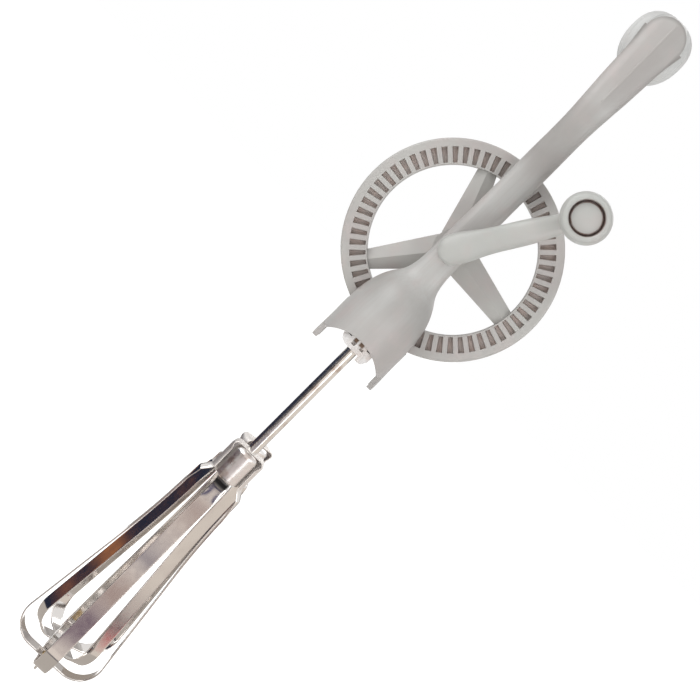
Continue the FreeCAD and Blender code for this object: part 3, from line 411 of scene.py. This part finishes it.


# Painted shade in the windows in the front of the bush: brown, each a soft box across X and Z.
def paintWindowShade(tree, colour, values):
    axes = objectPlace(tree)[1]
    soft = values["soft"]
    onFront = ramp(tree, axes["Y"], values["front"], values["front"] + soft, 1.0, 0.0)
    for left, right, foot, top in values["boxes"]:
        share = onFront
        for axis, low, high in (("X", left, right), ("Z", foot, top)):
            share = product(tree, share, ramp(tree, axes[axis], low - soft, low),
                            ramp(tree, axes[axis], high, high + soft, 1.0, 0.0))
        colour = blend(tree, share, colour, (*values["colour"], 1))
    return colour


# Painted shade: the front strip is painted dark right below its cup, where a gap opens behind it.
def gapShade(tree, colour, values):
    axes = objectPlace(tree)[1]
    aside = calc(tree, "ABSOLUTE", axes["X"])
    share = product(tree, ramp(tree, aside, *values["halfWide"], 1.0, 0.0),
                    ramp(tree, axes["Y"], *values["front"], 1.0, 0.0),
                    ramp(tree, axes["Z"], *values["rise"]))
    return blend(tree, share, colour, (*values["colour"], 1))


# The strips are scuffed dull beside the cups.
def scuffed(tree, rough, values):
    axes = objectPlace(tree)[1]
    added = ramp(tree, axes["Z"], *values["rise"], 0.0, values["added"])
    return calc(tree, "ADD", rough, added)


def newMaterial(name):
    material = bpy.data.materials.new(name)
    material.use_nodes = True
    return material, material.node_tree, material.node_tree.nodes["Principled BSDF"]


def joinShader(tree, shader, colour, rough, height, values):
    bump = addNode(tree, "ShaderNodeBump", {
        "Strength": values["bumpStrength"], "Distance": values["bumpDepth"], "Height": height})
    tree.links.new(colour, shader.inputs["Base Color"])
    tree.links.new(rough, shader.inputs["Roughness"])
    tree.links.new(bump.outputs["Normal"], shader.inputs["Normal"])


def makePlastic(name, values, ringTint=None, grip=None, windows=None):
    material, tree, shader = newMaterial(name)
    moulded = placeGroup(tree, mouldedGroup, values)
    colour = moulded["Colour"]
    # A colour laid in a ring: painted light in the slots of the wheel, dark brown at the crank knob and its pin.
    if ringTint:
        mask = placeGroup(tree, ringGroup, ringTint)["Mask"]
        colour = blend(tree, mask, colour, (*ringTint["colour"], 1))
    # Painted shade on the grip, its edges and belts of the frame.
    if grip:
        colour = paintGripShade(tree, colour, grip)
    # Painted shade in the windows of the bush.
    if windows:
        colour = paintWindowShade(tree, colour, windows)
    joinShader(tree, shader, colour, moulded["Roughness"], moulded["Height"], values)
    shader.inputs["IOR"].default_value = values["ior"]
    return material


def makeMetal(name, values, gap=None, scuff=None):
    material, tree, shader = newMaterial(name)
    rolled = placeGroup(tree, steelGroup, values)
    colour, rough = rolled["Colour"], rolled["Roughness"]
    # Painted shade below the front cup.
    if gap:
        colour = gapShade(tree, colour, gap)
    if scuff:
        rough = scuffed(tree, rough, scuff)
    joinShader(tree, shader, colour, rough, rolled["Height"], values)
    shader.inputs["Metallic"].default_value = 1.0
    return material


greyValues = {
    "base": (0.485, 0.480, 0.464),
    "shade": (0.440, 0.415, 0.400),
    "blush": (0.500, 0.440, 0.425),
    "cloudScale": 38.0,
    "blushShare": 0.5,
    "streakShare": 0.30,
    "gloss": 0.27,
    "bumpStrength": 0.3,
    "bumpDepth": 0.00004,
    "ior": 1.49,
}
crankValues = dict(greyValues, base=(0.492, 0.498, 0.474), shade=(0.455, 0.447, 0.428),
                   blushShare=0.3, streakShare=0.0)
wheelValues = dict(greyValues, base=(0.480, 0.472, 0.450), streakShare=0.0)
paleValues = dict(greyValues, base=(0.645, 0.645, 0.635), shade=(0.57, 0.57, 0.56),
                  blush=(0.61, 0.57, 0.555), blushShare=0.3, streakShare=0.0)
milkyValues = dict(greyValues, base=(0.74, 0.72, 0.71), shade=(0.64, 0.59, 0.56),
                   blush=(0.68, 0.57, 0.52), cloudScale=120.0, streakShare=0.0, gloss=0.34)

# A belt of painted shade starts, is full, fades and ends at four rises, and then comes its share.
gripPaintedShade = {
    "colour": (0.235, 0.225, 0.213),
    "endCentre": 0.1449,
    "grip": (0.111, 0.118),
    "edge": (0.0058, 0.0075),
    "edgeShare": 0.72,
    "middle": (-0.0002, 0.0006),
    "halfShare": 0.26,
    "belts": [(0.080, 0.092, 0.110, 0.118, 0.30), (0.012, 0.022, 0.026, 0.031, 0.26)],
}
# Painted shade of the windows in the front of the bush.
# A box is given by its left, right, foot and top.
bushWindowShade = {
    "colour": (0.130, 0.075, 0.045),
    "front": -0.0095,
    "soft": 0.0006,
    "boxes": [(-0.0018, -0.0009, 0.0039, 0.0050), (0.0005, 0.0017, 0.0040, 0.0050)],
}
# Painted light in the slots of the wheel: their floors are painted lighter and pinker than the wheel, against the
# shade that falls in them.
slotPaintedLight = {
    "colour": (0.570, 0.475, 0.435),
    "centre": jointPlace["crank_turn"],
    "inner": 0.0293,
    "outer": 0.0349,
    "edge": 0.0002,
    "level": 0.0,
    "fullDepth": 0.0010,
    "noDepth": 0.0031,
    "patchScale": 260.0,
    "least": 0.45,
    "most": 1.0,
}
# Dark brown in a ring in the recess of the crank knob, and about the edge of its pin.
knobRecessTint = {
    "colour": (0.150, 0.075, 0.055),
    "centre": jointPlace["grip_turn"],
    "inner": 0.0040,
    "outer": 0.00585,
    "edge": 0.00012,
    "level": -0.0390,
    "fullDepth": 0.0026,
    "noDepth": 0.0031,
    "patchScale": 900.0,
    "least": 0.55,
    "most": 0.95,
}
pinRimTint = dict(knobRecessTint, inner=0.00475, outer=0.0060, level=-0.0400, fullDepth=0.0016,
               noDepth=0.0024)

steelValues = {
    "base": (0.78, 0.76, 0.735),
    "stain": (0.36, 0.24, 0.18),
    "stainScale": 210.0,
    "stainShare": 0.55,
    "gloss": 0.10,
    "waveScale": 150.0,
    "lineShare": 0.35,
    "bumpStrength": 0.18,
    "bumpDepth": 0.00005,
}
cupValues = dict(steelValues, base=(0.82, 0.80, 0.785), stainScale=260.0, stainShare=0.6,
                 gloss=0.22, waveScale=420.0, lineShare=0.0, bumpDepth=0.00008)
stripFinish = dict(steelValues, base=(0.73, 0.70, 0.675), stain=(0.42, 0.36, 0.36),
                   stainScale=55.0, stainShare=0.35, gloss=0.04, waveScale=60.0, lineShare=0.0,
                   bumpDepth=0.00006)
brassValues = dict(steelValues, base=(0.50, 0.36, 0.18), stain=(0.20, 0.12, 0.06), gloss=0.25)

# Painted shade on the front strip below the cup.
cupGapShade = {
    "colour": (0.02, 0.018, 0.018),
    "halfWide": (0.0026, 0.0032),
    "front": (-0.0150, -0.0140),
    "rise": (-0.0632, -0.0602),
}
stripScuff = {"rise": (-0.0608, -0.0590), "added": 0.42}

finishes = {
    "grey_plastic": makePlastic("greyMoulding", greyValues),
    "pale_plastic": makePlastic("paleMoulding", paleValues),
    "white_plastic": makePlastic("milkyMoulding", milkyValues),
    "steel": makeMetal("drawnSteel", steelValues),
    "strip_steel": makeMetal("stripSteel", stripFinish, cupGapShade, stripScuff),
    "brass": makeMetal("dullBrass", brassValues),
}
cupSteel = makeMetal("cupSteel", cupValues)
ownFinishes = {
    "frame_body": makePlastic("frameMoulding", greyValues, grip=gripPaintedShade),
    "lower_bush": makePlastic("bushMoulding", milkyValues, windows=bushWindowShade),
    "drive_wheel": makePlastic("wheelMoulding", wheelValues, slotPaintedLight),
    "crank_arm": makePlastic("crankMoulding", crankValues),
    "crank_knob": makePlastic("knobMoulding", crankValues, knobRecessTint),
    "knob_pin": makePlastic("pinMoulding", crankValues, pinRimTint),
    "front_cup": cupSteel,
    "rear_cup": cupSteel,
}

for part in frame["record"]["subparts"]:
    node = frame["nodes"][part["node"]]
    node.data.materials.clear()
    node.data.materials.append(ownFinishes.get(part["node"], finishes[part["material_slot"]]))
print("finishes placed")


# A grid of points becomes a smooth closed surface. It is closed round its second direction, and
# either closed along its first too or capped by a pole at each end. If the volume within comes out
# negative, its faces are turned round.
def surfaceFromGrid(name, grid, slot, body, poles=False):
    rows, columns = grid.shape[:2]
    index = np.arange(rows * columns).reshape(rows, columns)
    low = index[:-1] if poles else index
    high = index[1:] if poles else np.roll(index, -1, axis=0)
    faces = [low, np.roll(low, -1, axis=1), np.roll(high, -1, axis=1), high]
    faces = np.stack(faces, axis=-1).reshape(-1, 4)
    points = grid.reshape(-1, 3)
    fans = np.empty((0, 3), dtype=int)
    if poles:
        points = np.concatenate([points, grid[0].mean(axis=0)[None], grid[-1].mean(axis=0)[None]])
        first, last = rows * columns, rows * columns + 1
        fans = np.concatenate([
            np.stack([np.full(columns, first), np.roll(index[0], -1), index[0]], axis=-1),
            np.stack([np.full(columns, last), index[-1], np.roll(index[-1], -1)], axis=-1)])
    one, two, three, four = np.moveaxis(points[faces], 1, 0)
    doubleArea = np.cross(two - one, three - one) + np.cross(three - one, four - one)
    if np.einsum("ij,ij->", one, doubleArea) < 0:
        faces, fans = faces[:, ::-1], fans[:, ::-1]
    mesh = bpy.data.meshes.new(name)
    mesh.from_pydata(points.tolist(), [], faces.tolist() + fans.tolist())
    mesh.shade_smooth()
    mesh.materials.append(finishes[slot])
    piece = bpy.data.objects.new(name, mesh)
    bpy.context.scene.collection.objects.link(piece)
    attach(piece, body)
    return piece


# A closed line with round corners: each corner is cut back along its two runs by its radius over
# the tangent of half its angle, and an arc about the point on its bisector joins the runs.
def roundedLine(corners, step, leastArc=6, leastRun=2):
    points = np.array([corner[:2] for corner in corners])
    radii = np.array([corner[2] for corner in corners])
    toBack = np.roll(points, 1, axis=0) - points
    toNext = np.roll(points, -1, axis=0) - points
    toBack /= np.linalg.norm(toBack, axis=1)[:, None]
    toNext /= np.linalg.norm(toNext, axis=1)[:, None]
    half = np.arccos((toBack * toNext).sum(axis=1)) / 2
    inward = (toBack + toNext) / np.linalg.norm(toBack + toNext, axis=1)[:, None]
    onward = (toNext - toBack) / np.linalg.norm(toNext - toBack, axis=1)[:, None]
    centres = points + inward * (radii / np.sin(half))[:, None]
    starts = points + toBack * (radii / np.tan(half))[:, None]
    ends = points + toNext * (radii / np.tan(half))[:, None]
    line = []
    for corner in range(len(points)):
        sweep = math.pi / 2 - half[corner]
        count = max(leastArc, math.ceil(2 * sweep * radii[corner] / step))
        turn = np.linspace(-sweep, sweep, count + 1)[:, None]
        spoke = np.sin(turn) * onward[corner] - np.cos(turn) * inward[corner]
        line.append(centres[corner] + radii[corner] * spoke)
        run = starts[(corner + 1) % len(points)] - ends[corner]
        count = max(leastRun, math.ceil(np.linalg.norm(run) / step))
        line.append(ends[corner] + run * np.arange(1, count)[:, None] / count)
    return np.concatenate(line)


def smoothStep(values, low, high):
    share = np.clip((values - low) / (high - low), 0, 1)
    return share * share * (3 - 2 * share)


# Beater strips. The middle line of each loop is given by half its corners: reach from the shaft,
# rise above the rim of the bell, and rounding. A hollow is given by its depth and the rises where
# it starts, is full, fades and ends. Turns are those of the outer loops.
stripValues = {
    "wide": 0.0054,
    "thick": 0.0005,
    "step": 0.0009,
    "flatPoints": 11,
    "roundPoints": 5,
    "outer": [(0.00655, -0.04715, 0.0022), (0.00655, -0.05870, 0.0012),
              (0.00905, -0.06200, 0.0013), (0.00975, -0.08240, 0.250),
              (0.01745, -0.14365, 0.009)],
    "inner": [(0.00905, -0.05965, 0.0016), (0.00975, -0.08240, 0.250),
              (0.01745, -0.14415, 0.009)],
    "outerHollow": (0.0012, -0.0474, -0.0510, -0.0600, -0.0700),
    "innerHollow": (0.0003, -0.0598, -0.0612, -0.0618, -0.0670),
    "turns": {"front": 5.0, "rear": 40.0},
}


# The section of a strip is a flat band with half-round edges. It is carried along the loop's middle
# line, and its edges are drawn inward by the square of the place across it, as a gutter.
def makeLoop(name, kind, shaftAlong, turn, body, values):
    half = values[kind]
    corners = [(-x, z, radius) for x, z, radius in reversed(half)] + half
    line = roundedLine(corners[::-1], values["step"])
    ahead = np.roll(line, -1, axis=0) - line
    ahead /= np.linalg.norm(ahead, axis=1)[:, None]
    along = ahead + np.roll(ahead, 1, axis=0)
    along /= np.linalg.norm(along, axis=1)[:, None]
    outward = np.stack([along[:, 1], -along[:, 0]], axis=1)
    outward *= np.sign((outward * (line - line.mean(axis=0))).sum())
    edge = values["thick"] / 2
    flat = values["wide"] / 2 - edge
    across = np.linspace(-flat, flat, values["flatPoints"])
    bend = np.linspace(-math.pi / 2, math.pi / 2, values["roundPoints"] + 2)[1:-1]
    bulge, lift = edge * np.cos(bend), edge * np.sin(bend)
    face = np.full(values["flatPoints"], edge)
    sectionAcross = np.concatenate([across, flat + bulge, across[::-1], -flat - bulge])
    sectionOut = np.concatenate([-face, lift, face, -lift])
    deepest, start, full, fade, end = values[kind + "Hollow"]
    level = line[:, 1]
    hollow = deepest * smoothStep(level, start, full) * (1 - smoothStep(level, fade, end))
    push = sectionOut[None] - hollow[:, None] * (2 * sectionAcross[None] / values["wide"]) ** 2
    reach = line[:, None, 0] + outward[:, None, 0] * push
    rise = line[:, None, 1] + outward[:, None, 1] * push
    sine, cosine = math.sin(math.radians(turn)), math.cos(math.radians(turn))
    grid = np.stack([
        reach * cosine - sectionAcross[None] * sine,
        reach * sine + sectionAcross[None] * cosine + shaftAlong,
        rise], axis=-1)
    return surfaceFromGrid(name, grid, "strip_steel", body)


for beater, turn in stripValues["turns"].items():
    shaftAlong = jointPlace[beater + "_beater_turn"][1]
    for kind, quarter in (("outer", 0.0), ("inner", 90.0)):
        loop = makeLoop("%s_%s_strip" % (beater, kind), kind, shaftAlong, turn + quarter,
                        beater + "_beater", stripValues)
        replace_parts(loop, "%s_%s_loop" % (beater, kind))
print("beater strips made")

# Palm knob behind the end of the strap.
palmValues = {
    "along": -0.0030,
    "rise": 0.1439,
    "halfWide": 0.0112,
    "above": 0.0121,
    "below": 0.0140,
    "aboveFullness": 2.5,
    "belowFullness": 2.0,
    "flutes": 20,
    "fluteDeep": 0.0008,
    "flat": -0.0121,
    "rings": 72,
    "flutePoints": 14,
}


# A superellipse turned about Z, fuller above than below. Its radius falls into each round flute by
# the size of a cosine, and what would pass into the strap is pressed flat.
def makePalmKnob(values):
    flutes = values["flutes"]
    latitude = np.linspace(-math.pi / 2, math.pi / 2, values["rings"] + 2)[1:-1, None]
    longitude = np.linspace(0, 2 * math.pi, flutes * values["flutePoints"], endpoint=False)[None]
    fullness = np.where(latitude > 0, values["aboveFullness"], values["belowFullness"])
    reach = np.where(latitude > 0, values["above"], values["below"])
    radius = values["halfWide"] * np.cos(latitude) ** (2 / fullness)
    rise = reach * np.sign(latitude) * np.abs(np.sin(latitude)) ** (2 / fullness)
    groove = np.abs(np.cos(flutes / 2 * (longitude + math.pi / 2)))
    radius = radius * (1 - groove * values["fluteDeep"] / values["halfWide"])
    grid = np.stack([
        radius * np.cos(longitude),
        np.maximum(values["along"] + radius * np.sin(longitude), values["flat"]),
        values["rise"] + rise + 0 * longitude], axis=-1)
    return surfaceFromGrid("fluted_palm_knob", grid, "pale_plastic", "frame", poles=True)


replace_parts(makePalmKnob(palmValues), "palm_knob")

# Line that the mould leaves on the crest of the grip. Its ends taper over a share of its length.
mouldLineValues = {
    "from": 0.1150,
    "to": 0.1519,
    "halfWide": 0.00035,
    "high": 0.00010,
    "taper": 0.125,
    "rings": 38,
    "sides": 12,
    "castFrom": -0.1,
}


# A bead along Z of elliptic section, half sunk in the front of the strap where a ray meets it, that
# tapers off by a square root at both ends.
def makeMouldLine(values):
    strap = frame["nodes"]["frame_body"]
    share = np.linspace(0, 1, values["rings"] + 2)[1:-1, None]
    around = np.linspace(0, 2 * math.pi, values["sides"], endpoint=False)[None]
    rise = values["from"] + (values["to"] - values["from"]) * share
    front = np.array([strap.ray_cast((0, values["castFrom"], level), (0, 1, 0))[1].y
                      for level in rise[:, 0]])[:, None]
    size = np.sqrt(np.clip(np.minimum(share, 1 - share) / values["taper"], 0, 1))
    grid = np.stack([
        values["halfWide"] * size * np.cos(around),
        front + values["high"] * size * np.sin(around),
        rise + 0 * around], axis=-1)
    return surfaceFromGrid("strap_mould_line", grid, "grey_plastic", "frame", poles=True)


makeMouldLine(mouldLineValues)
print("palm knob and mould line made")
